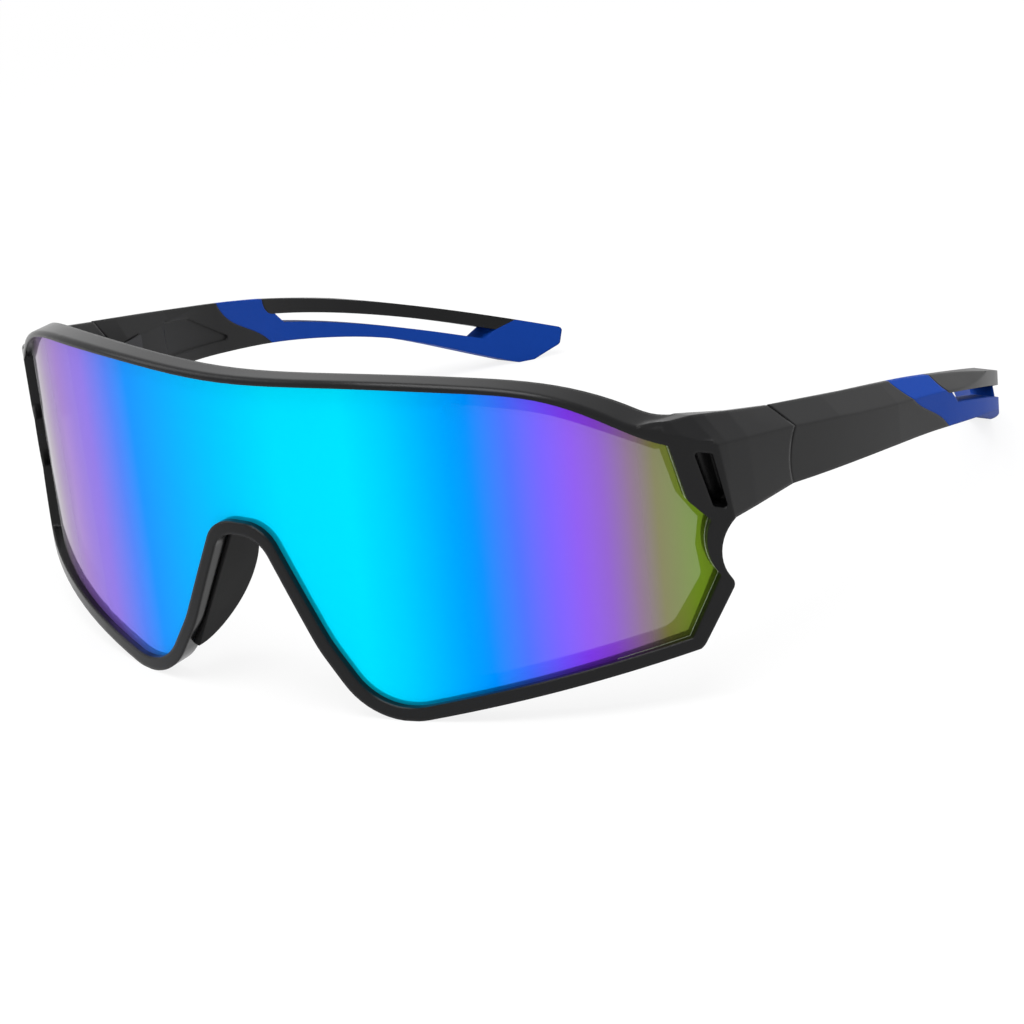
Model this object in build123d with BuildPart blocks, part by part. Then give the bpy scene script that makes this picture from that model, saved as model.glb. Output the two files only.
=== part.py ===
"""Wraparound sport sunglasses: one mirror shield in a moulded front, two folding temples with rubber grips.

Millimetres, +Z up. The lens looks along -Y and +X is the wearer's left. The origin is on the table plane,
below the middle of the object. Depths are measured back from the lens apex, the foremost point of the lens.
"""
from build123d import *
from math import cos, radians, sin, sqrt
import os

os.makedirs("parts", exist_ok=True)

# ---- driving dimensions ----
APEX_Y = -77.645  # the lens apex in the object's frame; half of the depth
FRONT = Plane(origin=(0, APEX_Y, 0), x_dir=(1, 0, 0), z_dir=(0, -1, 0))  # sketches of (x, height)
PLAN = Plane(origin=(0, APEX_Y, 0), x_dir=(1, 0, 0), z_dir=(0, 0, 1))  # sketches of (x, depth)
SIDE = Plane(origin=(0, APEX_Y, 0), x_dir=(0, 1, 0), z_dir=(1, 0, 0))  # sketches of (depth, height)
SKY = 70  # taller than anything here
FAR = 200

# lens curve: a flat middle arc and a tighter arc on each side, both vertical cylinders
MIDDLE_R = 97.0
SIDE_R = 76.5
TURN = 23.1  # degrees from the middle where the two arcs meet
LENS_END = 58.0  # degrees, past the ends of the lens
LENS_THICK = 1.8
END_TURN = 45.0  # degrees; the plane that faces the lens's end

END = Plane(
    origin=(0, APEX_Y, 0),
    x_dir=(cos(radians(END_TURN)), sin(radians(END_TURN)), 0),
    z_dir=(sin(radians(END_TURN)), -cos(radians(END_TURN)), 0),
)  # sketches of (distance along it, height)

VENT_TURN = 35.6
VENT = Plane(
    origin=(0, APEX_Y, 0),
    x_dir=(cos(radians(VENT_TURN)), sin(radians(VENT_TURN)), 0),
    z_dir=(sin(radians(VENT_TURN)), -cos(radians(VENT_TURN)), 0),
).offset(20)  # faces the endpiece's front, just before it

# front frame
RIM_PROUD = 1.2  # in front of the lens, at the middle
RIM_SIDE_R = 82.0  # the rim's own side arc, opener than the lens so that it stands prouder there
RIM_DEPTH = 2.8  # behind the lens curve
BROW_ROUND = 0.8  # rounding along the top of its front face
ENDPIECE_LOW = 28.9
VENT_FLOOR = 1.8  # behind the lens curve

# seam between endpiece and temple, and the hinge in it
SEAM = ((45.8, 41.2), (47.4, 37.6), (45.8, 28.8))  # depth and height of its top, notch and bottom
SEAM_BULGE = 45.5  # its foremost depth
SEAM_GAP = 0.15
HINGE_X = 63.9
HINGE_DEPTH = 46.3
HINGE_Z = 32.5
BARREL_R = 1.4
PIN_R = 0.75
PIN_CLEAR = 0.05
KNUCKLE = 2.0  # height of each of the two front barrels
TEMPLE_KNUCKLE = 2.2
KNUCKLE_GAP = 0.1
SCREW_HEAD_R = 1.25
SCREW_HEAD_H = 0.7
SCREW_HEAD_BEVEL = 0.25
SCREW_SLOT = 0.35  # its width and depth
LEAF_THICK = 1.0
LEAF_H = 2 * KNUCKLE + TEMPLE_KNUCKLE + 2 * KNUCKLE_GAP
FRONT_LEAF_X = 64.9  # inner face of the plate let into the endpiece
TEMPLE_LEAF_X = 65.8  # inner face of the plate let into the temple

# temples
TEMPLE_X = 73.5  # outer face where it runs straight back
TEMPLE_THICK = 4.0
HOOK_START = 93.0  # depth where the temple starts to curve round the head
HOOK_R = 95.0
TIP_DEPTH = 156.6
WEB_THICK = 1.5  # core inside the rubber
FACET_IN = 3.3  # the facet along the upper outer edge: inwards and down
FACET_DOWN = 3.1
FACET_RUNS_OUT = 1.4  # how far the facet has moved off the edge where it ends
GRIP_FRONT = ((81.2, 32.6), (83.9, 28.9), (88.5, 25.7), (94.6, 21.4))  # depth and height down its front
BAR_FRONT = ((94.3, 29.5), (94.9, 27.2))  # front end of the stiff bar above the slot, down to the slot's corner
SLOT = ((97.5, 25.6), (145.9, 8.0), (143.8, 6.5), (99.8, 23.1))  # depth and height of its corners
SLOT_TOP_MID = (121.7, 17.9)
SLOT_LOW_MID = (121.8, 15.7)
PANEL = ((64.0, 35.0), (72.4, 32.8), (84.8, 24.9), (64.0, 28.3))  # recessed panel on the inner face
PANEL_DEEP = 0.4

# nose pads
PAD_THICK = 2.2
PAD_BEVEL = 0.6


# ---- the lens curve ----
def lens_curve(angle, off=0.0, side_r=SIDE_R):
    """Point (x, depth) where the normal is turned by angle degrees, moved out by off."""
    sign = 1 if angle >= 0 else -1
    a = radians(abs(angle))
    t = radians(TURN)
    if abs(angle) <= TURN:
        return (sign * (MIDDLE_R + off) * sin(a), MIDDLE_R - (MIDDLE_R + off) * cos(a))
    cx = (MIDDLE_R - side_r) * sin(t)
    cy = MIDDLE_R - (MIDDLE_R - side_r) * cos(t)
    return (sign * (cx + (side_r + off) * sin(a)), cy - (side_r + off) * cos(a))


def curve_arcs(off, side_r, end):
    """The curve from right to left as three arcs, in a BuildLine."""
    middle = (TURN + end) / 2
    at = lambda angle: lens_curve(angle, off, side_r)
    ThreePointArc(at(-end), at(-middle), at(-TURN))
    ThreePointArc(at(-TURN), at(0), at(TURN))
    ThreePointArc(at(TURN), at(middle), at(end))
    return at(-end), at(end)


def curve_slab(front_off, rear_off, front_r=SIDE_R, end=LENS_END):
    """Tall vertical slab between two curves: front_off in front of the lens curve, rear_off behind it."""
    with BuildPart() as slab:
        with BuildSketch(PLAN.offset(-5)):
            with BuildLine():
                front_right, front_left = curve_arcs(front_off, front_r, end)
                rear_right, rear_left = curve_arcs(-rear_off, SIDE_R, end)
                Line(front_right, rear_right)
                Line(front_left, rear_left)
            make_face()
        extrude(amount=SKY + 5)
    return slab.part


# ---- outlines: the front view gives brow, lobes and nose; a plane facing each end gives the notched end ----
def front_prism(top, top_end, below, radii):
    """Mirrored front-view outline of (x, height) points, carried straight back through the object."""
    with BuildPart() as prism:
        with BuildSketch(FRONT.offset(10)) as sk:
            with BuildLine():
                Spline(*top, tangents=[(1, 0), top_end])
                Polyline(top[-1], *below)
                mirror(about=Plane.YZ)
            make_face()
            for x, z, radius in radii:
                corner = lambda v: abs(abs(v.X) - x) < 0.01 and abs(v.Y - z) < 0.01
                fillet(sk.vertices().filter_by(corner), radius)
        extrude(amount=-60)
    return prism.part


def end_prism(above, scoop, below, radii):
    """Everything inside the notched outline of the left end; its walls stand square on the lens there."""
    with BuildPart() as prism:
        with BuildSketch(END) as sk:
            with BuildLine():
                Polyline((-FAR, SKY), (above[0][0] - 0.6, SKY), *above, scoop[0])
                ThreePointArc(*scoop)
                Polyline(scoop[-1], *below, (below[-1][0] - 8, -FAR), (-FAR, -FAR), (-FAR, SKY))
            make_face()
            for p, z, radius in radii:
                corner = lambda v: abs(v.X - p) < 0.01 and abs(v.Y - z) < 0.01
                fillet(sk.vertices().filter_by(corner), radius)
        extrude(amount=FAR, both=True)
    return prism.part


def shield(front, end, slab):
    """A front outline cut to its two ends and to a slab of the lens curve."""
    with BuildPart() as piece:
        add(front)
        add(end, mode=Mode.INTERSECT)
        add(end.mirror(Plane.YZ), mode=Mode.INTERSECT)
        add(slab, mode=Mode.INTERSECT)
    return piece.part


LENS_FRONT = front_prism(
    top=[(0, 53.7), (20, 54.2), (38, 53.5), (50, 51.2), (57.3, 46.8), (62.6, 42.9), (72, 38.8)],
    top_end=(0.9, -0.4),
    below=[(72, 12.6), (21.9, 0.75), (14.1, 12.2), (4.9, 30.75), (0, 30.75)],
    radii=[(21.9, 0.75, 10.5), (14.1, 12.2, 25), (4.9, 30.75, 6)],
)
LENS_ENDS = end_prism(
    above=[(61.6, 43.1), (64.0, 33.1)],
    scoop=[(67.4, 29.3), (66.5, 25.4), (68.3, 20.2)],
    below=[(63.0, 10.6)],
    radii=[(64.0, 33.1, 0.8), (68.3, 20.2, 0.5)],
)
RIM_FRONT = front_prism(
    top=[(0, 54.8), (20, 55.2), (38, 54.5), (50, 52.1), (57.6, 47.8), (60.6, 45.75), (63.0, 45.1)],
    top_end=(0.95, -0.3),
    below=[(64, 43.2), (80, 38), (80, 12.3), (21.0, -1.72), (12.3, 11.1), (3.9, 28.65), (0, 28.65)],
    radii=[(21.0, -1.72, 12.6), (12.3, 11.1, 23), (3.9, 28.65, 5)],
)
RIM_ENDS = end_prism(
    above=[(68.4, 43.0), (70.6, 30.5)],
    scoop=[(71.2, 28.9), (68.75, 24.5), (70.6, 18.6)],
    below=[(64.5, 8.75), (50, 5.6)],
    radii=[(70.6, 18.6, 1.4), (64.5, 8.75, 3)],
)
WINDOW_FRONT = front_prism(
    top=[(0, 52.5), (20, 53.0), (38, 52.2), (49, 50.1), (56.4, 45.8), (60.6, 42.8)],
    top_end=(0.9, -0.5),
    below=[(62.3, 33.6), (64.4, 28.9), (63.9, 24.6), (64.3, 19.6), (60.6, 11.9), (22.4, 2.9),
           (15.6, 12.9), (6.0, 32.2), (0, 32.2)],
    radii=[(22.4, 2.9, 8.5), (15.6, 12.9, 25), (6.0, 32.2, 7), (60.6, 11.9, 4), (60.6, 42.8, 2),
           (64.3, 19.6, 3)],
)


# ---- seam ----
def seam_edge(shift):
    """The seam from its top to its bottom as (depth, height), in a BuildLine: a notch, then a forward bulge."""
    top, notch, bottom = [(depth + shift, z) for depth, z in SEAM]
    Line(top, notch)
    ThreePointArc(notch, (SEAM_BULGE + shift, (notch[1] + bottom[1]) / 2), bottom)
    return top, bottom


def behind_seam(shift):
    """Everything behind the seam."""
    with BuildPart() as block:
        with BuildSketch(SIDE.offset(40)):
            with BuildLine():
                top, bottom = seam_edge(shift)
                Polyline(top, (top[0], SKY), (200, SKY), (200, -10), (bottom[0], -10), bottom)
            make_face()
        extrude(amount=60)
    return block.part


# ---- endpiece ----
# sections: depth, inner x, low outer x, ridge's x and z, x of the top's outer and inner edge, z of the top
ENDPIECE = (
    (21.0, 60.0, 69.0, 68.2, 37.3, 60.6, 60.2, 45.9),
    (23.2, 60.2, 69.2, 68.4, 38.6, 62.0, 60.4, 45.8),
    (25.0, 60.5, 69.4, 68.6, 39.9, 63.3, 60.7, 45.5),
    (28.9, 61.7, 70.0, 69.0, 41.0, 64.8, 62.0, 45.2),
    (31.0, 62.5, 70.2, 69.4, 40.7, 65.6, 63.6, 44.8),
    (36.0, 65.0, 70.8, 70.2, 39.8, 66.8, 66.1, 43.6),
    (50.0, 65.8, 72.15, 72.1, 37.2, 68.8, 68.3, 40.1),
)
SHOULDER_Z = 36.0  # above this height the inner side slopes outwards to a narrow top


def endpiece_blank():
    """The corner block that turns from the lens to the side of the head, its front face flush with the rim's."""
    with BuildPart() as block:
        for depth, inner, low, ridge, ridge_z, top, top_in, top_z in ENDPIECE:
            with BuildSketch(FRONT.offset(-depth)):
                with BuildLine():
                    Polyline((inner, ENDPIECE_LOW), (low, ENDPIECE_LOW), (ridge, ridge_z), (top, top_z),
                             (top_in, top_z), (inner, SHOULDER_Z), close=True)
                make_face()
        loft(ruled=True)
        add(behind_seam(0), mode=Mode.SUBTRACT)
        add(BEHIND_RIM_FRONT, mode=Mode.INTERSECT)
    return block.part


def vent():
    """Slanted blind vent, square on the endpiece's front face."""
    with BuildPart() as pocket:
        with BuildSketch(VENT) as sk:
            with BuildLine():
                Polyline((69.2, 40.7), (72.1, 39.8), (73.9, 30.6), (71.6, 31.4), close=True)
            make_face()
            fillet(sk.vertices(), 0.5)
        extrude(amount=-20)
        add(curve_slab(8, VENT_FLOOR), mode=Mode.INTERSECT)
    return pocket.part


LENS_SLAB = curve_slab(0, LENS_THICK)
POCKET_SLAB = curve_slab(8, LENS_THICK)
RIM_SLAB = curve_slab(RIM_PROUD, RIM_DEPTH, RIM_SIDE_R)
BEHIND_RIM_FRONT = curve_slab(RIM_PROUD, 60, RIM_SIDE_R, 80)
ENDPIECE_BLANK = endpiece_blank()


# ---- temples ----
def temple_plan(inset=0.0):
    """Temple from above: thick front block, straight run, then the hook; inset moves its inner side out."""
    outer, inner = TEMPLE_X, TEMPLE_X - TEMPLE_THICK + inset
    hook = lambda radius, depth: (TEMPLE_X - HOOK_R + sqrt(radius**2 - (depth - HOOK_START) ** 2), depth)
    far = TIP_DEPTH + 1
    mid = (HOOK_START + far) / 2
    inner_r = HOOK_R - TEMPLE_THICK + inset
    with BuildSketch(PLAN.offset(-5)) as sk:
        with BuildLine():
            ThreePointArc((71.0, 40), (72.75, 60), (outer, 78))
            Line((outer, 78), (outer, HOOK_START))
            ThreePointArc((outer, HOOK_START), hook(HOOK_R, mid), hook(HOOK_R, far))
            Line(hook(HOOK_R, far), hook(inner_r, far))
            ThreePointArc(hook(inner_r, far), hook(inner_r, mid), (inner, HOOK_START))
            Line((inner, HOOK_START), (inner, 80))
            Spline((inner, 80), (67.5 + inset, 62.5), (65.7 + inset, 46), tangents=[(0, -1), (0, -1)])
            Polyline((65.7 + inset, 46), (65.7 + inset, 40), (71.0, 40))
        make_face()
    return sk.sketch


def temple_profile():
    """Temple seen from the side, from the seam to the tip."""
    with BuildSketch(SIDE.offset(30)) as sk:
        with BuildLine():
            top, bottom = seam_edge(SEAM_GAP)
            back = (78, 33.7)
            Line(top, back)
            TangentArc(back, (TIP_DEPTH, 5.8), tangent=(back[0] - top[0], back[1] - top[1]))
            Polyline((TIP_DEPTH, 5.8), (156.0, 2.4), (151.8, 0), (149.2, 0))
            Spline((149.2, 0), (138.9, 5.4), (127.1, 11.1), (111.1, 16.4), (92, 21.1), (70, 25.0), bottom)
        make_face()
        tail = lambda v: v.X > 149 and v.Y < 7
        fillet(sk.vertices().filter_by(tail), 1.0)
    return sk.sketch


def temple_blank():
    """The whole left temple before it is parted into core and grip."""
    with BuildPart() as blank:
        extrude(temple_plan(), amount=SKY + 5)
        extrude(temple_profile(), amount=60, mode=Mode.INTERSECT)
    return blank.part


# ---- small solids shared by the pieces below ----
def box(x, depth, z):
    """Box from ranges of x, depth and height."""
    with BuildPart() as piece:
        with BuildSketch(PLAN.offset(z[0])):
            with Locations(((x[0] + x[1]) / 2, (depth[0] + depth[1]) / 2)):
                Rectangle(x[1] - x[0], depth[1] - depth[0])
        extrude(amount=z[1] - z[0])
    return piece.part


def barrel(base, height, bore):
    """One hinge barrel with its bore, standing on height base."""
    with BuildPart() as piece:
        with BuildSketch(PLAN.offset(base)):
            with Locations((HINGE_X, HINGE_DEPTH)):
                Circle(BARREL_R)
                Circle(bore, mode=Mode.SUBTRACT)
        extrude(amount=height)
    return piece.part


def side_prism(points, x_from=30, x_to=90, radius=0.0):
    """A side-view outline of (depth, height) points, carried across from x_from to x_to."""
    with BuildPart() as piece:
        with BuildSketch(SIDE.offset(x_from)) as sk:
            Polygon(*points, align=None)
            if radius:
                fillet(sk.vertices(), radius)
        extrude(amount=x_to - x_from)
    return piece.part


# ---- hinge: two barrels on the front leaf, one between them on the temple leaf ----
LOW_BASE = HINGE_Z - LEAF_H / 2
MIDDLE_BASE = LOW_BASE + KNUCKLE + KNUCKLE_GAP
MIDDLE_TOP = MIDDLE_BASE + TEMPLE_KNUCKLE
HIGH_BASE = MIDDLE_TOP + KNUCKLE_GAP
LEAF_TOP = LOW_BASE + LEAF_H

with BuildPart() as front_hinge:
    add(box((FRONT_LEAF_X, FRONT_LEAF_X + LEAF_THICK), (38.5, 44.6), (LOW_BASE, LEAF_TOP)))
    for base, bore in ((LOW_BASE, PIN_R), (HIGH_BASE, PIN_R + PIN_CLEAR)):
        add(barrel(base, KNUCKLE, bore))
        with BuildSketch(PLAN.offset(base)):
            with Locations((HINGE_X + 1.0, HINGE_DEPTH - 1.25)):
                Rectangle(0.7, 2.3)
        extrude(amount=KNUCKLE)
        with BuildSketch(PLAN.offset(base)):
            with Locations((HINGE_X, HINGE_DEPTH)):
                Circle(bore)
        extrude(amount=KNUCKLE, mode=Mode.SUBTRACT)

with BuildPart() as temple_hinge:
    add(box((TEMPLE_LEAF_X, TEMPLE_LEAF_X + LEAF_THICK), (48.1, 55.5), (LOW_BASE, LEAF_TOP)))
    add(box((HINGE_X + 0.6, TEMPLE_LEAF_X + LEAF_THICK), (46.9, 48.1), (MIDDLE_BASE, MIDDLE_TOP)))
    add(barrel(MIDDLE_BASE, TEMPLE_KNUCKLE, PIN_R + PIN_CLEAR))
    with BuildSketch(PLAN.offset(MIDDLE_BASE)):
        with Locations((HINGE_X, HINGE_DEPTH)):
            Circle(PIN_R + PIN_CLEAR)
    extrude(amount=TEMPLE_KNUCKLE, mode=Mode.SUBTRACT)

with BuildPart() as hinge_screw:
    for base, height, radius in ((LOW_BASE, LEAF_H, PIN_R), (LEAF_TOP, SCREW_HEAD_H, SCREW_HEAD_R)):
        with BuildSketch(PLAN.offset(base)):
            with Locations((HINGE_X, HINGE_DEPTH)):
                Circle(radius)
        extrude(amount=height)
    chamfer(hinge_screw.edges().sort_by(Axis.Z)[-1], SCREW_HEAD_BEVEL)
    with BuildSketch(PLAN.offset(LEAF_TOP + SCREW_HEAD_H - SCREW_SLOT)):
        with Locations((HINGE_X, HINGE_DEPTH)):
            Rectangle(SCREW_SLOT, 2 * SCREW_HEAD_R + 1)
    extrude(amount=1, mode=Mode.SUBTRACT)


# ---- lens and front frame ----
with BuildPart() as shield_lens:
    add(shield(LENS_FRONT, LENS_ENDS, LENS_SLAB))


def on_brow_front(edge):
    """True for an edge along the top of the rim's front face, where it turns into the brow's top."""
    for share in (0.25, 0.75):
        point = edge @ share
        x, depth = abs(point.X), point.Y - APEX_Y
        if x < (MIDDLE_R + RIM_PROUD) * sin(radians(TURN)):
            gap = sqrt(x**2 + (depth - MIDDLE_R) ** 2) - (MIDDLE_R + RIM_PROUD)
        else:
            cx = (MIDDLE_R - RIM_SIDE_R) * sin(radians(TURN))
            cy = MIDDLE_R - (MIDDLE_R - RIM_SIDE_R) * cos(radians(TURN))
            gap = sqrt((x - cx) ** 2 + (depth - cy) ** 2) - (RIM_SIDE_R + RIM_PROUD)
        if abs(gap) > 0.01:
            return False
    return (edge @ 0.5).Z > ENDPIECE[0][-1] and abs((edge % 0.5).Z) < 0.99


with BuildPart() as front_frame:
    add(shield(RIM_FRONT, RIM_ENDS, RIM_SLAB))
    fillet(front_frame.edges().filter_by(on_brow_front), BROW_ROUND)
    add(ENDPIECE_BLANK)
    add(ENDPIECE_BLANK.mirror(Plane.YZ))
    add(shield(LENS_FRONT, LENS_ENDS, POCKET_SLAB), mode=Mode.SUBTRACT)
    add(WINDOW_FRONT, mode=Mode.SUBTRACT)
    add(vent(), mode=Mode.SUBTRACT)
    add(vent().mirror(Plane.YZ), mode=Mode.SUBTRACT)
    add(front_hinge.part, mode=Mode.SUBTRACT)
    add(front_hinge.part.mirror(Plane.YZ), mode=Mode.SUBTRACT)
    with BuildSketch(Plane.XY):
        Rectangle(FAR, FAR)
    extrude(amount=-10, mode=Mode.SUBTRACT)  # the flats it stands on


# ---- nose pads: soft blades behind the nose edges, splayed to the sides of the nose ----
PAD_ALONG = (0.438, 0, -0.899)  # down the nose edge
PAD_BACK = Vector(0.03, 1, 0.02)  # backwards and a little outwards
PAD = Plane(
    origin=(9.5, APEX_Y + 3.2, 18.5),
    x_dir=PAD_ALONG,
    z_dir=Vector(*PAD_ALONG).cross(PAD_BACK),
)

with BuildPart() as nose_pad:
    with BuildSketch(PAD):
        with BuildLine():
            Spline((13.8, -1.2), (12.4, 5.2), (7.5, 9.6), (2.0, 10.6), (-6.0, 8.0), (-11.0, -1.2))
            Line((-11.0, -1.2), (13.8, -1.2))
        make_face()
    extrude(amount=PAD_THICK / 2, both=True)
    chamfer(nose_pad.faces().sort_by(Axis.Y)[-1].edges(), PAD_BEVEL)
    add(front_frame.part, mode=Mode.SUBTRACT)
    add(shield_lens.part, mode=Mode.SUBTRACT)


# ---- temple: stiff core, and the rubber grip moulded round its web and tongue ----
def facet_cutter():
    """What the sloping facet takes off the temple's upper outer edge."""
    # depth, outer x, top height, share of the facet that is left
    sections = ((40, 71.0, 42.6, 1.0), (60, 72.75, 37.9, 1.0), (78, 73.5, 33.7, 1.0), (94, 73.5, 29.6, 0.8),
                (116, 70.8, 22.8, 0.0))
    with BuildPart() as cutter:
        for depth, x, z, share in sections:
            with BuildSketch(FRONT.offset(-depth)):
                with BuildLine():
                    shift = FACET_RUNS_OUT * (1 - share)
                    Polyline((x - 2 * FACET_IN + shift, z + FACET_DOWN + shift),
                             (x + FACET_IN + shift, z - 2 * FACET_DOWN + shift),
                             (x + 12, z + 12), close=True)
                make_face()
        loft(ruled=True)
    return cutter.part


def inner_cutter():
    """What slopes the temple's inner side outwards to a narrow top."""
    # depth, inner x, shoulder height, x and height of the top
    sections = ((40, 65.7, 36.6, 67.6, 42.6), (52, 66.0, 35.8, 68.3, 39.8), (66, 68.0, 34.0, 69.2, 36.5),
                (82, 69.5, 31.0, 69.5, 32.7))
    with BuildPart() as cutter:
        for depth, low_x, low_z, top_x, top_z in sections:
            with BuildSketch(FRONT.offset(-depth)):
                with BuildLine():
                    Polyline((low_x - 0.3, low_z), (top_x, top_z), (top_x + 0.3, top_z + 4),
                             (60, top_z + 4), (60, low_z), close=True)
                make_face()
        loft(ruled=True)
    return cutter.part


def core_slab():
    """Middle layer of the temple, with a cover of rubber on both sides."""
    outer_r = HOOK_R - (TEMPLE_THICK - WEB_THICK) / 2
    inner_r = outer_r - WEB_THICK
    centre = TEMPLE_X - HOOK_R
    far = TIP_DEPTH - 1.5
    mid = (HOOK_START + far) / 2
    at = lambda radius, depth: (centre + sqrt(radius**2 - (depth - HOOK_START) ** 2), depth)
    with BuildPart() as slab:
        with BuildSketch(PLAN.offset(1)):
            with BuildLine():
                Line((centre + outer_r, 78), (centre + outer_r, HOOK_START))
                ThreePointArc(at(outer_r, HOOK_START), at(outer_r, mid), at(outer_r, far))
                Line(at(outer_r, far), at(inner_r, far))
                ThreePointArc(at(inner_r, far), at(inner_r, mid), at(inner_r, HOOK_START))
                Polyline(at(inner_r, HOOK_START), (centre + inner_r, 78), (centre + outer_r, 78))
            make_face()
        extrude(amount=SKY)
    return slab.part


def grip_region():
    """Side view of all that is rubber: a slanted band, the strip below the slot and the tip."""
    with BuildPart() as region:
        with BuildSketch(SIDE.offset(30)):
            with BuildLine():
                ThreePointArc(SLOT[0], BAR_FRONT[1], BAR_FRONT[0])
                Polyline(BAR_FRONT[0], (94.3, 45), (80.5, 45), GRIP_FRONT[0])
                Spline(*GRIP_FRONT)
                Polyline(GRIP_FRONT[-1], (100, 16), (125, 4), (145, -9), (165, -9), (165, 25), (153.0, 14.5),
                         (149.7, 9.35), SLOT[1], SLOT[2])
                ThreePointArc(SLOT[2], SLOT_LOW_MID, SLOT[3])
                Line(SLOT[3], SLOT[0])
            make_face()
        extrude(amount=60)
    return region.part


def slot_region():
    """Side view of the slot between the upper bar and the rubber strip."""
    with BuildPart() as region:
        with BuildSketch(SIDE.offset(30)):
            with BuildLine():
                ThreePointArc(SLOT[0], SLOT_TOP_MID, SLOT[1])
                Line(SLOT[1], SLOT[2])
                ThreePointArc(SLOT[2], SLOT_LOW_MID, SLOT[3])
                Line(SLOT[3], SLOT[0])
            make_face()
        extrude(amount=60)
    return region.part


def panel_recess():
    """The arrow-shaped recess on the temple's inner face, of one depth all over."""
    with BuildPart() as recess:
        add(side_prism(PANEL, radius=0.5))
        extrude(temple_plan(PANEL_DEEP), amount=SKY, mode=Mode.SUBTRACT)
    return recess.part


GRIP_REGION = grip_region()
with BuildPart() as temple_blank_faceted:
    add(temple_blank())
    add(facet_cutter(), mode=Mode.SUBTRACT)
    add(inner_cutter(), mode=Mode.SUBTRACT)

with BuildPart() as web_and_tongue:
    add(side_prism([(80, 31.0), (98, 27.0), (98, 26.0), (90, 23.6), (80, 26.8)]))
    add(side_prism([(145.5, 10.3), (152.7, 6.4), (151.6, 4.8), (146.4, 8.4)]))
    add(core_slab(), mode=Mode.INTERSECT)

with BuildPart() as temple:
    add(temple_blank_faceted.part)
    add(GRIP_REGION, mode=Mode.SUBTRACT)
    add(slot_region(), mode=Mode.SUBTRACT)
    add(web_and_tongue.part)
    add(temple_hinge.part, mode=Mode.SUBTRACT)
    add(panel_recess(), mode=Mode.SUBTRACT)

with BuildPart() as temple_grip:
    add(temple_blank_faceted.part)
    add(GRIP_REGION, mode=Mode.INTERSECT)
    add(web_and_tongue.part, mode=Mode.SUBTRACT)


# ---- the fourteen pieces ----
MIDDLE = {"shield_lens": shield_lens, "front_frame": front_frame}
SIDES = {
    "nose_pad": nose_pad,
    "front_hinge": front_hinge,
    "temple_hinge": temple_hinge,
    "hinge_screw": hinge_screw,
    "temple": temple,
    "temple_grip": temple_grip,
}


def write(solid, label):
    """Names a piece and writes it out."""
    solid.label = label
    export_step(solid, f"parts/{label}.step")


for label, piece in MIDDLE.items():
    write(piece.part, label)
for label, piece in SIDES.items():
    write(piece.part, f"{label}_left")
    write(piece.part.mirror(Plane.YZ), f"{label}_right")
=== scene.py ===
"""Wraparound sport sunglasses: finishes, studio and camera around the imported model. Metres, +Z up."""

from math import cos, pi, radians, sin

import bpy
import numpy as np
from mathutils import Matrix, Vector


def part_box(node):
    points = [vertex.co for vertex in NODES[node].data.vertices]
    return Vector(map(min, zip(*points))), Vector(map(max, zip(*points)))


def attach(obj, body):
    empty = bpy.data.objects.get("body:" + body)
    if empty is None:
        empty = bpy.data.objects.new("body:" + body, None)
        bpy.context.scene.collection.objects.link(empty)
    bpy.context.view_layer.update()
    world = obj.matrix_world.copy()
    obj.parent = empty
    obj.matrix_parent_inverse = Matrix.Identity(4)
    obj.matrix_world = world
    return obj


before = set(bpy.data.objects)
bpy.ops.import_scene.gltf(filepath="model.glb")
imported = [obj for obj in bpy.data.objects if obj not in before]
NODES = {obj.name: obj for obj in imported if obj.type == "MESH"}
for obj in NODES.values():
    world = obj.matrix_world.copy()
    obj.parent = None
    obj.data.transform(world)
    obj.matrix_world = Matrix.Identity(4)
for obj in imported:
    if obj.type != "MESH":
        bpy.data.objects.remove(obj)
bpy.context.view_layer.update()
MM = 0.001

# ---- the lens's curve, seen from above: a flat middle arc and a tighter arc at each side ----
LENS_APEX_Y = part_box("shield_lens")[0].y
MIDDLE_RADIUS = 97.0 * MM
SIDE_RADIUS = 76.5 * MM
MIDDLE_TURN = radians(23.1)  # where the side arc takes over from the middle one
SIDE_STARTS_X = MIDDLE_RADIUS * sin(MIDDLE_TURN)
SIDE_CENTRE_X = (MIDDLE_RADIUS - SIDE_RADIUS) * sin(MIDDLE_TURN)

# ---- camera ----
VIEW_AZIMUTH = radians(35.70)
VIEW_ELEVATION = radians(21.70)
VIEW_ROLL = radians(-6.14)
VIEW_DISTANCE = 0.5302
VIEW_SLIDE = (-0.0038, 0.0016)  # along the view's own right and up
FOCAL_MM = 105.05
SENSOR_MM = 36
CLIP_NEAR = 0.05
CLIP_FAR = 20


def make_camera():
    """A camera that looks at the origin from the azimuth and elevation, slid sideways and rolled."""
    a, e, r = VIEW_AZIMUTH, VIEW_ELEVATION, VIEW_ROLL
    back = Vector((sin(a) * cos(e), -cos(a) * cos(e), sin(e)))
    level = Vector((cos(a), sin(a), 0))
    right = level * cos(r) + back.cross(level) * sin(r)
    up = back.cross(right)
    data = bpy.data.cameras.new("camera")
    data.sensor_width = SENSOR_MM
    data.lens = FOCAL_MM
    data.clip_start = CLIP_NEAR
    data.clip_end = CLIP_FAR
    camera = bpy.data.objects.new("camera", data)
    place = back * VIEW_DISTANCE + right * VIEW_SLIDE[0] + up * VIEW_SLIDE[1]
    turn = Matrix((right, up, back)).transposed().to_4x4()
    camera.matrix_world = Matrix.Translation(place) @ turn
    bpy.context.scene.collection.objects.link(camera)
    bpy.context.scene.camera = camera


make_camera()


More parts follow.
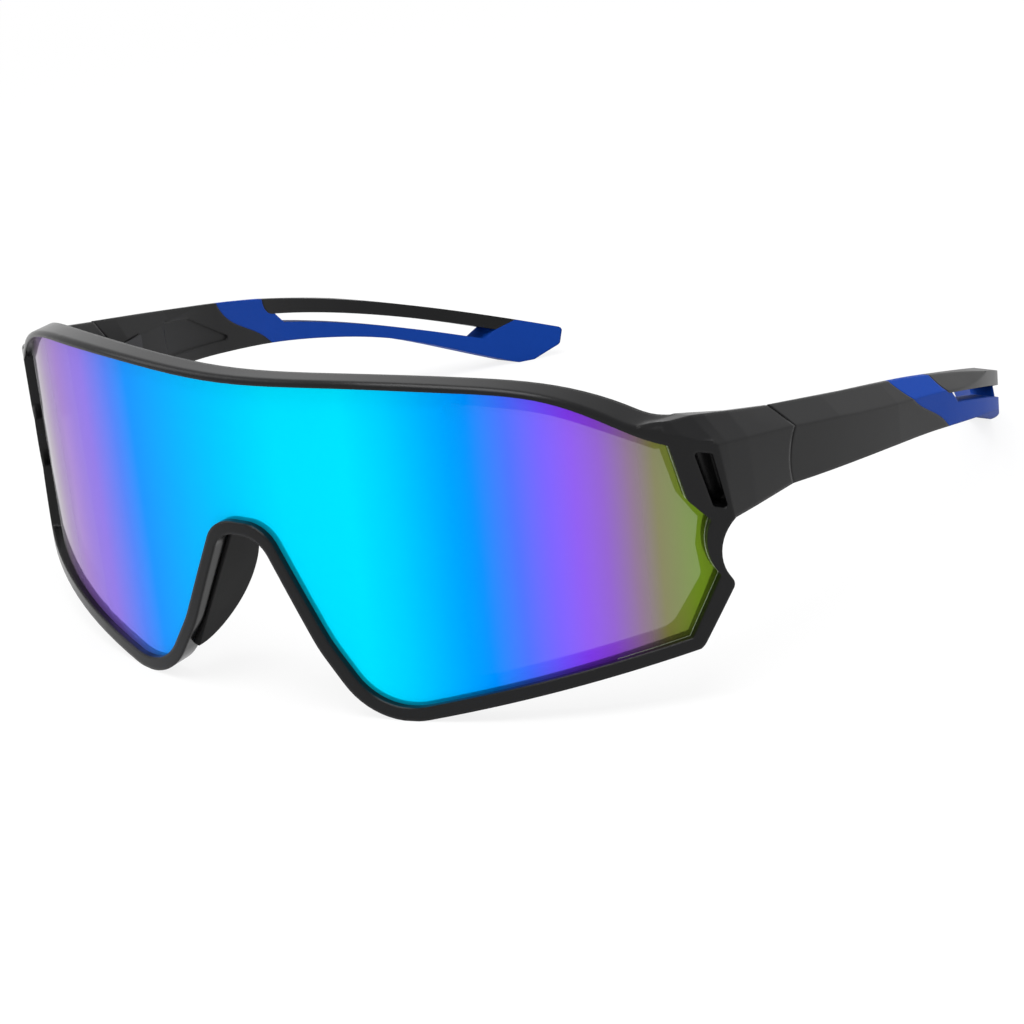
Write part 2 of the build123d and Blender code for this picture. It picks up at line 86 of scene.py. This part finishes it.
# ---- shader helpers ----
class Nodes:
    """Short ways to add and join the nodes of one tree."""

    def __init__(self, tree):
        self.tree = tree

    def add(self, kind, settings=None, **inputs):
        node = self.tree.nodes.new("ShaderNode" + kind)
        for key, value in (settings or {}).items():
            setattr(node, key, value)
        for key, value in inputs.items():
            self.put(node.inputs[key.replace("_", " ")], value)
        return node

    def put(self, socket, value):
        if isinstance(value, bpy.types.NodeSocket):
            self.tree.links.new(value, socket)
        else:
            socket.default_value = value

    def math(self, operation, *values, clamp=False):
        node = self.tree.nodes.new("ShaderNodeMath")
        node.operation = operation
        node.use_clamp = clamp
        for socket, value in zip(node.inputs, values):
            self.put(socket, value)
        return node.outputs[0]

    def mix(self, factor, first, second):
        node = self.tree.nodes.new("ShaderNodeMix")
        node.data_type = "RGBA"
        self.put(node.inputs[0], factor)
        self.put(node.inputs[6], first)
        self.put(node.inputs[7], second)
        return node.outputs[2]

    def ramp(self, factor, stops):
        node = self.tree.nodes.new("ShaderNodeValToRGB")
        self.put(node.inputs[0], factor)
        elements = node.color_ramp.elements
        while len(elements) < len(stops):
            elements.new(0.5)
        for element, (place, colour) in zip(elements, stops):
            element.position = place
            element.color = (*colour, 1)
        return node.outputs[0]


def new_material(name):
    """An empty material with its output node, as (material, nodes, output)."""
    material = bpy.data.materials.new(name)
    material.use_nodes = True
    material.node_tree.nodes.clear()
    n = Nodes(material.node_tree)
    return material, n, n.add("OutputMaterial")


HANDLED_TONE = (0.03, 0.03, 0.032, 1)  # what handled black plastic pales to
CLOUD_SCALE = 90.0


def moulding_group():
    """Moulded surface: fine grain as a height, and slow cloudy variation of tone and roughness."""
    group = bpy.data.node_groups.new("moulded_surface", "ShaderNodeTree")
    face = group.interface
    for name, kind, value in (("Color", "Color", (0, 0, 0, 1)), ("Grain scale", "Float", 2000.0),
                              ("Roughness", "Float", 0.3), ("Cloud", "Float", 0.05)):
        socket = face.new_socket(name, in_out="INPUT", socket_type="NodeSocket" + kind)
        socket.default_value = value
    for name, kind in (("Color", "Color"), ("Roughness", "Float"), ("Height", "Float")):
        face.new_socket(name, in_out="OUTPUT", socket_type="NodeSocket" + kind)
    n = Nodes(group)
    given = group.nodes.new("NodeGroupInput").outputs
    result = group.nodes.new("NodeGroupOutput").inputs
    place = n.add("TexCoord").outputs["Object"]
    cloud = n.add("TexNoise", Vector=place, Scale=CLOUD_SCALE, Detail=3.0).outputs["Fac"]
    grain = n.add("TexNoise", Vector=place, Scale=given["Grain scale"], Detail=2.0).outputs["Fac"]
    swing = n.math("MULTIPLY", n.math("SUBTRACT", cloud, 0.5), given["Cloud"])
    n.put(result["Roughness"], n.math("ADD", given["Roughness"], swing, clamp=True))
    n.put(result["Height"], grain)
    lighter = n.mix(n.math("MULTIPLY", cloud, given["Cloud"]), given["Color"], HANDLED_TONE)
    n.put(result["Color"], lighter)
    return group


MOULDED = moulding_group()
EDGE_SAMPLES = 6


def moulded(name, colour, roughness, grain_scale, grain_height, cloud=0.1, specular=0.5, round_mm=0.2):
    """Moulded plastic or rubber, its sharp edges rounded off by round_mm where they catch the light."""
    material, n, output = new_material(name)
    surface = n.add("Group")
    surface.node_tree = MOULDED
    n.put(surface.inputs["Color"], (*colour, 1))
    n.put(surface.inputs["Grain scale"], grain_scale)
    n.put(surface.inputs["Roughness"], roughness)
    n.put(surface.inputs["Cloud"], cloud)
    rounded = n.add("Bevel", settings={"samples": EDGE_SAMPLES}, Radius=round_mm * MM).outputs[0]
    bump = n.add("Bump", Height=surface.outputs["Height"], Strength=1.0, Distance=grain_height,
                 Normal=rounded)
    shader = n.add("BsdfPrincipled", Base_Color=surface.outputs["Color"],
                   Roughness=surface.outputs["Roughness"], Normal=bump.outputs[0])
    shader.inputs["Specular IOR Level"].default_value = specular
    n.put(output.inputs["Surface"], shader.outputs[0])
    return material


STEEL_MARKS_SCALE = 4000.0
STEEL_MARKS_ROUGHNESS = 0.12  # how much the marks add to the roughness
STEEL_MARKS_HEIGHT = 0.01 * MM


def metal(name, colour, roughness):
    """Steel with fine marks all over its surface."""
    material, n, output = new_material(name)
    place = n.add("TexCoord").outputs["Object"]
    marks = n.add("TexNoise", Vector=place, Scale=STEEL_MARKS_SCALE, Detail=2.0).outputs["Fac"]
    rough = n.math("ADD", roughness, n.math("MULTIPLY", marks, STEEL_MARKS_ROUGHNESS))
    bump = n.add("Bump", Height=marks, Strength=1.0, Distance=STEEL_MARKS_HEIGHT)
    shader = n.add("BsdfPrincipled", Base_Color=(*colour, 1), Metallic=1.0, Roughness=rough,
                   Normal=bump.outputs[0])
    n.put(output.inputs["Surface"], shader.outputs[0])
    return material


# mirror coat: colours round the lens, by the degrees that its surface is turned to the wearer's left. They
# are partly the coat's own tints and partly painted reflection: the grey-white stops at the wearer's right
# end paint the white surroundings mirrored at a grazing angle, and the bright cyan in the middle paints a
# softbox mirrored there
COAT_AND_PAINTED_REFLECTION = (
    (-48, (0.46, 0.46, 0.46)),
    (-41, (0.40, 0.39, 0.41)),
    (-37, (0.345, 0.27, 0.38)),
    (-33, (0.30, 0.185, 0.445)),
    (-28, (0.30, 0.15, 0.565)),
    (-21, (0.25, 0.16, 0.74)),
    (-16, (0.07, 0.21, 0.88)),
    (-13, (0.0, 0.28, 0.95)),
    (-4, (0.0, 0.49, 0.97)),
    (5, (0.0, 0.70, 0.97)),
    (12, (0.0, 0.73, 0.98)),
    (16, (0.0, 0.60, 0.98)),
    (20, (0.0, 0.42, 0.97)),
    (24, (0.0, 0.27, 0.97)),
    (28, (0.05, 0.15, 0.98)),
    (32, (0.155, 0.075, 0.96)),
    (35, (0.22, 0.045, 0.84)),
    (38, (0.225, 0.055, 0.59)),
    (41, (0.217, 0.11, 0.26)),
    (44, (0.175, 0.17, 0.045)),
    (48, (0.145, 0.245, 0.015)),
)
COAT_ENDS = (-60.0, 60.0)
THIN_COAT_FROM = 21.0  # degrees over which the coat thins towards both ends
THIN_COAT_TO = 38.0
THIN_COAT = 0.08  # the share of light that it lets through there
TINT_FROM_BEHIND = 0.68  # how much the tinted glass hides, seen from behind
COAT_FROM_BEHIND = 0.35  # how much the back of the coat hides
CUT_EDGE = 0.92  # how opaque the cut edge is
MIRROR = 0.62  # how far the coat is metal
LENS_CORNER = 0.3 * MM  # radius of the polished corner
# painted highlight along the lens's polished cut edge: where it starts and is full across the corner, its
# colour, and the turn past which it shows
CORNER_BENDS = (0.97, 0.85)  # dot of rounded and flat normals where the pale line starts and is full
PAINTED_EDGE_HIGHLIGHT = (0.7, 0.8, 0.6, 1)
EDGE_HIGHLIGHT_FROM = 38.0  # degrees of turn
GLASS_TINT = (0.014, 0.015, 0.018, 1)
EDGE_LIMIT = 0.35  # a face whose normal leans less than this to front or back is the cut edge
POLISH = 0.05  # least roughness of the lens, and how much its faint clouds add
POLISH_SCALE = 35.0


def lens_material():
    """Mirror coat on the outer face, its colours partly painted reflection and a painted highlight along its
    cut edge; dark tint seen from behind, and a little light through both.
    """
    material, n, output = new_material("mirror_coated_lens")
    where = n.add("TexCoord")
    across = n.add("SeparateXYZ", Vector=where.outputs["Object"]).outputs["X"]
    # turn = asin((|x| - arc's centre) / arc's radius), with the side arc's values past SIDE_STARTS_X
    out = n.math("ABSOLUTE", across)
    on_side = n.math("GREATER_THAN", out, SIDE_STARTS_X)
    reach = n.math("SUBTRACT", out, n.math("MULTIPLY", on_side, SIDE_CENTRE_X))
    radius = n.math("SUBTRACT", MIDDLE_RADIUS, n.math("MULTIPLY", on_side, MIDDLE_RADIUS - SIDE_RADIUS))
    lean = n.math("DEGREES", n.math("ARCSINE", n.math("DIVIDE", reach, radius)))
    turn = n.math("MULTIPLY", n.math("SIGN", across), lean)
    low, high = COAT_ENDS
    share = n.math("DIVIDE", n.math("SUBTRACT", turn, low), high - low)
    # the coat's colours, partly painted reflection of the white surroundings and of a softbox
    coat_and_reflection_colour = n.ramp(share, [((angle - low) / (high - low), colour) for angle, colour in COAT_AND_PAINTED_REFLECTION])

    facing = n.add("SeparateXYZ", Vector=where.outputs["Normal"]).outputs["Y"]
    from_inside = n.add("NewGeometry").outputs["Backfacing"]
    from_outside = n.math("SUBTRACT", 1.0, from_inside)
    ahead = n.math("LESS_THAN", facing, -EDGE_LIMIT)
    behind = n.math("GREATER_THAN", facing, EDGE_LIMIT)
    edge = n.math("SUBTRACT", 1.0, n.math("ADD", ahead, behind))
    coated = n.math("MULTIPLY", ahead, from_outside)
    thinning = n.add("MapRange", settings={"interpolation_type": "SMOOTHSTEP"}, Value=lean,
                     From_Min=THIN_COAT_FROM, From_Max=THIN_COAT_TO, To_Min=0.0, To_Max=THIN_COAT).outputs[0]
    # how opaque each face is: the coat, the back seen from behind, the coat seen through the glass, the edge
    opaque = n.math("MULTIPLY", coated, n.math("SUBTRACT", 1.0, thinning))
    for side, share_hidden in ((from_outside, TINT_FROM_BEHIND), (from_inside, COAT_FROM_BEHIND)):
        seen = n.math("MULTIPLY", behind, side)
        opaque = n.math("ADD", opaque, n.math("MULTIPLY", seen, share_hidden))
    opaque = n.math("ADD", opaque, n.math("MULTIPLY", edge, CUT_EDGE), clamp=True)
    # a painted highlight: a pale line along the polished corner of the cut edge, where the coat is thin,
    # with less metal there
    corner = n.add("Bevel", settings={"samples": EDGE_SAMPLES}, Radius=LENS_CORNER).outputs[0]
    bend = n.add("VectorMath", settings={"operation": "DOT_PRODUCT"})
    n.put(bend.inputs[0], corner)
    n.put(bend.inputs[1], n.add("NewGeometry").outputs["Normal"])
    rounded = n.add("MapRange", Value=bend.outputs["Value"], From_Min=CORNER_BENDS[0],
                    From_Max=CORNER_BENDS[1]).outputs[0]
    painted_edge_highlight = n.math("MULTIPLY", rounded, n.math("GREATER_THAN", turn, EDGE_HIGHLIGHT_FROM))
    cloud = n.add("TexNoise", Vector=where.outputs["Object"], Scale=POLISH_SCALE, Detail=2.0).outputs["Fac"]
    tinted = n.mix(coated, GLASS_TINT, coat_and_reflection_colour)
    # base colour is the tint or the coat, with the painted edge highlight over it
    shader = n.add(
        "BsdfPrincipled",
        Base_Color=n.mix(n.math("MULTIPLY", painted_edge_highlight, coated), tinted, PAINTED_EDGE_HIGHLIGHT),
        Metallic=n.math("MULTIPLY", coated, n.math("MULTIPLY_ADD", painted_edge_highlight, -MIRROR, MIRROR)),
        Roughness=n.math("ADD", POLISH, n.math("MULTIPLY", cloud, POLISH)),
        Alpha=opaque,
    )
    shader.inputs["Specular IOR Level"].default_value = 0.0
    n.put(output.inputs["Surface"], shader.outputs[0])
    return material


GLOSS = moulded("gloss_black", (0.0015, 0.0015, 0.0018), 0.22, 900.0, 0.003 * MM,
                specular=0.22, round_mm=0.75)
SATIN = moulded("satin_black", (0.002, 0.002, 0.0022), 0.38, 2500.0, 0.006 * MM,
                cloud=0.12, specular=0.18, round_mm=0.7)
GRIP = moulded("blue_rubber", (0.001, 0.038, 0.27), 0.55, 3000.0, 0.02 * MM,
               cloud=0.05, specular=0.08, round_mm=0.5)
PAD = moulded("black_rubber", (0.003, 0.003, 0.003), 0.7, 3000.0, 0.02 * MM,
              cloud=0.15, specular=0.15, round_mm=0.7)
HINGE = metal("blackened_steel", (0.05, 0.05, 0.053), 0.35)
SCREW = metal("dark_steel", (0.12, 0.12, 0.125), 0.28)
LENS = lens_material()

FINISH = {
    "shield_lens": LENS,
    "front_frame": GLOSS,
    "nose_pad": PAD,
    "front_hinge": HINGE,
    "temple_hinge": HINGE,
    "hinge_screw": SCREW,
    "temple_grip": GRIP,
    "temple": SATIN,
}
for name, node in NODES.items():
    kind = name.removesuffix("_left").removesuffix("_right")
    node.data.materials.clear()
    node.data.materials.append(FINISH[kind])


# ---- lower lip of the brow's flange, behind the lens's top edge ----
WINDOW_TOP_X = np.array([0.0, 20.0, 38.0, 49.0, 56.4, 60.6]) * MM
WINDOW_TOP_Z = np.array([52.5, 53.0, 52.2, 50.1, 45.8, 42.8]) * MM
LIP_DEPTHS = (1.82 * MM, 2.7 * MM)  # behind the lens's outer face
LIP_TURN = radians(46.0)  # its ends run into the flange's corners
LIP_ALONG = 200  # points along it
LIP_ROUND = 16  # points round its section
LIP_OVERLAP = 0.5 * MM  # how far it reaches up behind the window's top edge
LIP_DROP = (0.6, 1.6)  # mm below that edge in the middle, and what is added towards the ends
LIP_DROP_FROM = 18.0  # mm from the middle where the drop starts to grow
LIP_DROP_OVER = 32.0  # mm over which it grows


def window_top(x):
    """Height of the window's top edge at x: cubic Hermite pieces, with slopes from neighbouring points."""
    slope = np.gradient(WINDOW_TOP_Z, WINDOW_TOP_X)
    slope[0] = 0.0
    out = np.minimum(np.abs(x), WINDOW_TOP_X[-1])
    i = np.clip(np.searchsorted(WINDOW_TOP_X, out) - 1, 0, len(WINDOW_TOP_X) - 2)
    step = WINDOW_TOP_X[i + 1] - WINDOW_TOP_X[i]
    t = (out - WINDOW_TOP_X[i]) / step
    heights = WINDOW_TOP_Z[i] * (1 + 2 * t) * (1 - t) ** 2 + WINDOW_TOP_Z[i + 1] * (3 - 2 * t) * t**2
    return heights + step * (slope[i] * t * (1 - t) ** 2 - slope[i + 1] * t**2 * (1 - t))


def lens_line(turn, behind):
    """x and y on the lens's curve where its normal is turned by turn, moved back by behind."""
    lean = np.abs(turn)
    on_side = lean > MIDDLE_TURN
    radius = np.where(on_side, SIDE_RADIUS, MIDDLE_RADIUS)
    centre_x = np.where(on_side, SIDE_CENTRE_X, 0.0)
    side_centre_y = MIDDLE_RADIUS - (MIDDLE_RADIUS - SIDE_RADIUS) * cos(MIDDLE_TURN)
    centre_y = np.where(on_side, side_centre_y, MIDDLE_RADIUS)
    x = np.sign(turn) * (centre_x + (radius - behind) * np.sin(lean))
    return x, LENS_APEX_Y + centre_y - (radius - behind) * np.cos(lean)


def lip_drop(x):
    """How far the lip reaches below the window's top edge: a little in the middle, more towards the ends."""
    t = np.clip((np.abs(x) / MM - LIP_DROP_FROM) / LIP_DROP_OVER, 0.0, 1.0)
    return (LIP_DROP[0] + LIP_DROP[1] * t * t * (3 - 2 * t)) * MM


def brow_lip():
    """A bar along the lens's curve; its section is a superellipse of power 4, as deep as LIP_DEPTHS."""
    turn = np.linspace(-LIP_TURN, LIP_TURN, LIP_ALONG)[:, None]
    around = np.linspace(0.0, 2 * pi, LIP_ROUND, endpoint=False)[None, :]
    bulge = lambda v: np.sign(v) * np.abs(v) ** 0.5
    near, far = LIP_DEPTHS
    behind = (near + far) / 2 + (far - near) / 2 * bulge(np.cos(around))
    x, y = lens_line(turn + 0 * around, behind)
    edge_x = lens_line(turn, near)[0]
    top = window_top(edge_x) + LIP_OVERLAP
    low = window_top(edge_x) - lip_drop(edge_x)
    z = (top + low) / 2 + (top - low) / 2 * bulge(np.sin(around))
    points = np.stack([x, y, z], axis=-1).reshape(-1, 3)
    i, j = np.meshgrid(np.arange(LIP_ALONG - 1), np.arange(LIP_ROUND), indexing="ij")
    k = (j + 1) % LIP_ROUND
    corner = lambda row, column: row * LIP_ROUND + column
    sides = np.stack([corner(i, j), corner(i, k), corner(i + 1, k), corner(i + 1, j)], axis=-1)
    ends = [list(range(LIP_ROUND))[::-1], [corner(LIP_ALONG - 1, c) for c in range(LIP_ROUND)]]
    mesh = bpy.data.meshes.new("brow_lip")
    faces = sides.reshape(-1, 4).tolist() + ends
    mesh.from_pydata(points.tolist(), [], faces)
    mesh.shade_smooth()
    mesh.materials.append(GLOSS)
    piece = bpy.data.objects.new("brow_lip", mesh)
    bpy.context.scene.collection.objects.link(piece)
    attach(piece, "front")
    return piece


brow_lip()


# ---- studio ----
WORLD_LIGHT = 0.55
FLOOR_COLOUR = (0.82, 0.82, 0.82, 1)
FLOOR_WHITE = 0.85  # how white the floor shows close to the object
FLOOR_FADES = (0.15, 0.55)  # metres out, between which the floor turns wholly white
FLOOR_HALF = 3.0
LIGHT_DISTANCE = 0.9
WHITE = (1, 1, 1, 1)


def seen_directly(n):
    """1 where a camera, mirror or see-through ray looks, 0 for light that falls on things."""
    path = n.add("LightPath").outputs
    return n.math("MAXIMUM", path["Is Camera Ray"],
                  n.math("MAXIMUM", path["Is Glossy Ray"], path["Is Transmission Ray"]))


def make_world():
    """An even white sky: dim as a light, white where it is looked at."""
    world = bpy.data.worlds.new("studio")
    world.use_nodes = True
    bpy.context.scene.world = world
    world.node_tree.nodes.clear()
    n = Nodes(world.node_tree)
    strength = n.math("ADD", WORLD_LIGHT, n.math("MULTIPLY", seen_directly(n), 1.0 - WORLD_LIGHT))
    background = n.add("Background", Color=WHITE, Strength=strength)
    n.put(n.add("OutputWorld").inputs["Surface"], background.outputs[0])


def make_floor():
    """A pale floor that keeps the shadow near the object and turns white further out."""
    material, n, output = new_material("pale_floor")
    lit = n.add("BsdfDiffuse", Color=FLOOR_COLOUR)
    white = n.add("Emission", Color=WHITE, Strength=1.0)
    place = n.add("TexCoord").outputs["Object"]
    far = n.add("VectorMath", settings={"operation": "LENGTH"})
    n.put(far.inputs[0], place)
    white_share = n.add("MapRange", settings={"interpolation_type": "SMOOTHSTEP"},
                        Value=far.outputs["Value"], From_Min=FLOOR_FADES[0], From_Max=FLOOR_FADES[1],
                        To_Min=FLOOR_WHITE, To_Max=1.0).outputs[0]
    share = n.math("MULTIPLY", seen_directly(n), white_share)
    blend = n.add("MixShader", Fac=share)
    n.put(blend.inputs[1], lit.outputs[0])
    n.put(blend.inputs[2], white.outputs[0])
    n.put(output.inputs["Surface"], blend.outputs[0])
    mesh = bpy.data.meshes.new("floor")
    s = FLOOR_HALF
    mesh.from_pydata([(-s, -s, 0), (s, -s, 0), (s, s, 0), (-s, s, 0)], [], [(0, 1, 2, 3)])
    mesh.materials.append(material)
    floor = bpy.data.objects.new("floor", mesh)
    bpy.context.scene.collection.objects.link(floor)


def soft_light(name, azimuth, elevation, size, power, mirrored=True):
    """A rectangular soft light aimed at the object; mirrored says whether glossy surfaces show it."""
    a, e = radians(azimuth), radians(elevation)
    back = Vector((sin(a) * cos(e), -cos(a) * cos(e), sin(e)))
    data = bpy.data.lights.new(name, "AREA")
    data.shape = "RECTANGLE"
    data.size, data.size_y = size
    data.energy = power
    light = bpy.data.objects.new(name, data)
    light.location = back * LIGHT_DISTANCE
    light.rotation_mode = "QUATERNION"
    light.rotation_quaternion = back.to_track_quat("Z", "Y")
    light.visible_glossy = mirrored
    bpy.context.scene.collection.objects.link(light)


make_world()
make_floor()
soft_light("overhead", 20, 75, (0.7, 0.5), 8.0)
soft_light("side", -60, 35, (0.3, 0.6), 1.5)
soft_light("rear", 150, 40, (0.5, 0.4), 2.0, mirrored=False)

bpy.context.scene.view_settings.view_transform = "Standard"
